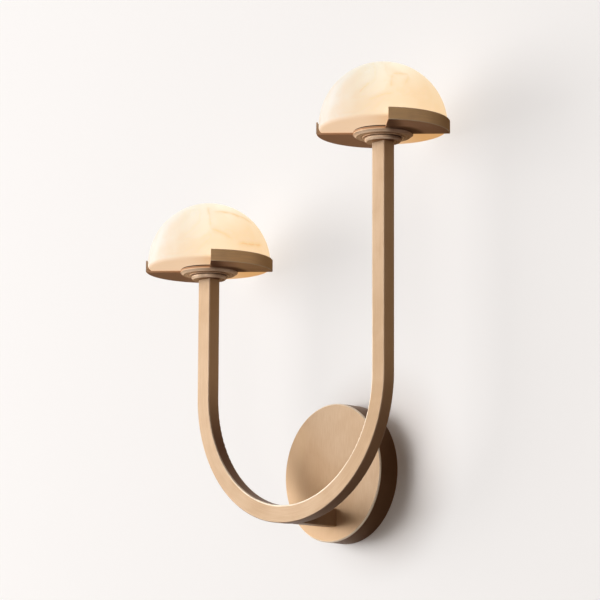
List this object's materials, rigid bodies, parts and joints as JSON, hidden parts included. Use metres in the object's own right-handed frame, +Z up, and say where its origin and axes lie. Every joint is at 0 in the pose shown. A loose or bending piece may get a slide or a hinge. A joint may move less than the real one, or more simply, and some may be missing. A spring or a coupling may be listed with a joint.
{
  "type": "wall light",
  "caption": "Wall light with a short and a tall arm of U-shaped rectangular brass tube on a round wall plate, each arm carrying a glowing alabaster dome on a tray.",
  "frame": {"origin": "middle of the wall bracket's slots, on the wall plane behind the round wall plate", "axes": "+X to the right and +Z up as seen from the room, +Y into the wall"},
  "size_m": [0.3348, 0.1209, 0.395],
  "materials": {
    "aged_brass": "brushed satin, lightly aged",
    "turned_brass": "turned satin",
    "tray_brass": "satin, darker",
    "alabaster": "polished, translucent, with faint brown veins",
    "zinc_steel": "zinc plated",
    "terminal_brass": "bright",
    "tinned_copper": "tinned",
    "earth_insulation": "green and yellow",
    "block_plastic": "matt",
    "driver_plastic": "matt",
    "wire_insulation": "matt",
    "foam": "foam",
    "gasket_rubber": "matt",
    "holder_ceramic": "unglazed",
    "lamp_ceramic": "unglazed",
    "lamp_glass": "frosted",
    "pin_metal": "bright"
  },
  "bodies": {
    "fixture": {"arm_tube": "aged_brass", "canopy": "aged_brass", "canopy_screws": "zinc_steel", "driver_pad": "foam", "driver_wires": "wire_insulation", "earth_ring": "tinned_copper", "earth_screw": "zinc_steel", "earth_wire": "earth_insulation", "lamp_driver": "driver_plastic", "left_arm_cap": "turned_brass", "left_gasket": "gasket_rubber", "left_holder_bracket": "zinc_steel", "left_holder_screws": "zinc_steel", "left_lampholder": "holder_ceramic", "left_lead": "wire_insulation", "left_lock_nut": "zinc_steel", "left_lock_washer": "zinc_steel", "left_nipple": "zinc_steel", "left_seat_disc": "turned_brass", "left_tray": "tray_brass", "right_arm_cap": "turned_brass", "right_gasket": "gasket_rubber", "right_holder_bracket": "zinc_steel", "right_holder_screws": "zinc_steel", "right_lampholder": "holder_ceramic", "right_lead": "wire_insulation", "right_lock_nut": "zinc_steel", "right_lock_washer": "zinc_steel", "right_nipple": "zinc_steel", "right_seat_disc": "turned_brass", "right_tray": "tray_brass", "stem": "aged_brass", "stem_screws": "zinc_steel", "terminal_block": "block_plastic", "terminal_fixings": "zinc_steel", "terminal_screws": "terminal_brass", "wall_bracket": "zinc_steel"},
    "left_dome": {"left_dome": "alabaster"},
    "left_lamp": {"left_lamp": "lamp_glass", "left_lamp_base": "lamp_ceramic", "left_lamp_pins": "pin_metal"},
    "right_dome": {"right_dome": "alabaster"},
    "right_lamp": {"right_lamp": "lamp_glass", "right_lamp_base": "lamp_ceramic", "right_lamp_pins": "pin_metal"}
  },
  "joints": [
    {"name": "left_dome_lift", "type": "slide", "parent": "fixture", "child": "left_dome", "axis": [0, 0, 1], "range_m": [0, 0.06]},
    {"name": "left_lamp_pull", "type": "slide", "parent": "fixture", "child": "left_lamp", "axis": [0, 0, 1], "range_m": [0, 0.008]},
    {"name": "right_dome_lift", "type": "slide", "parent": "fixture", "child": "right_dome", "axis": [0, 0, 1], "range_m": [0, 0.06]},
    {"name": "right_lamp_pull", "type": "slide", "parent": "fixture", "child": "right_lamp", "axis": [0, 0, 1], "range_m": [0, 0.008]}
  ]
}
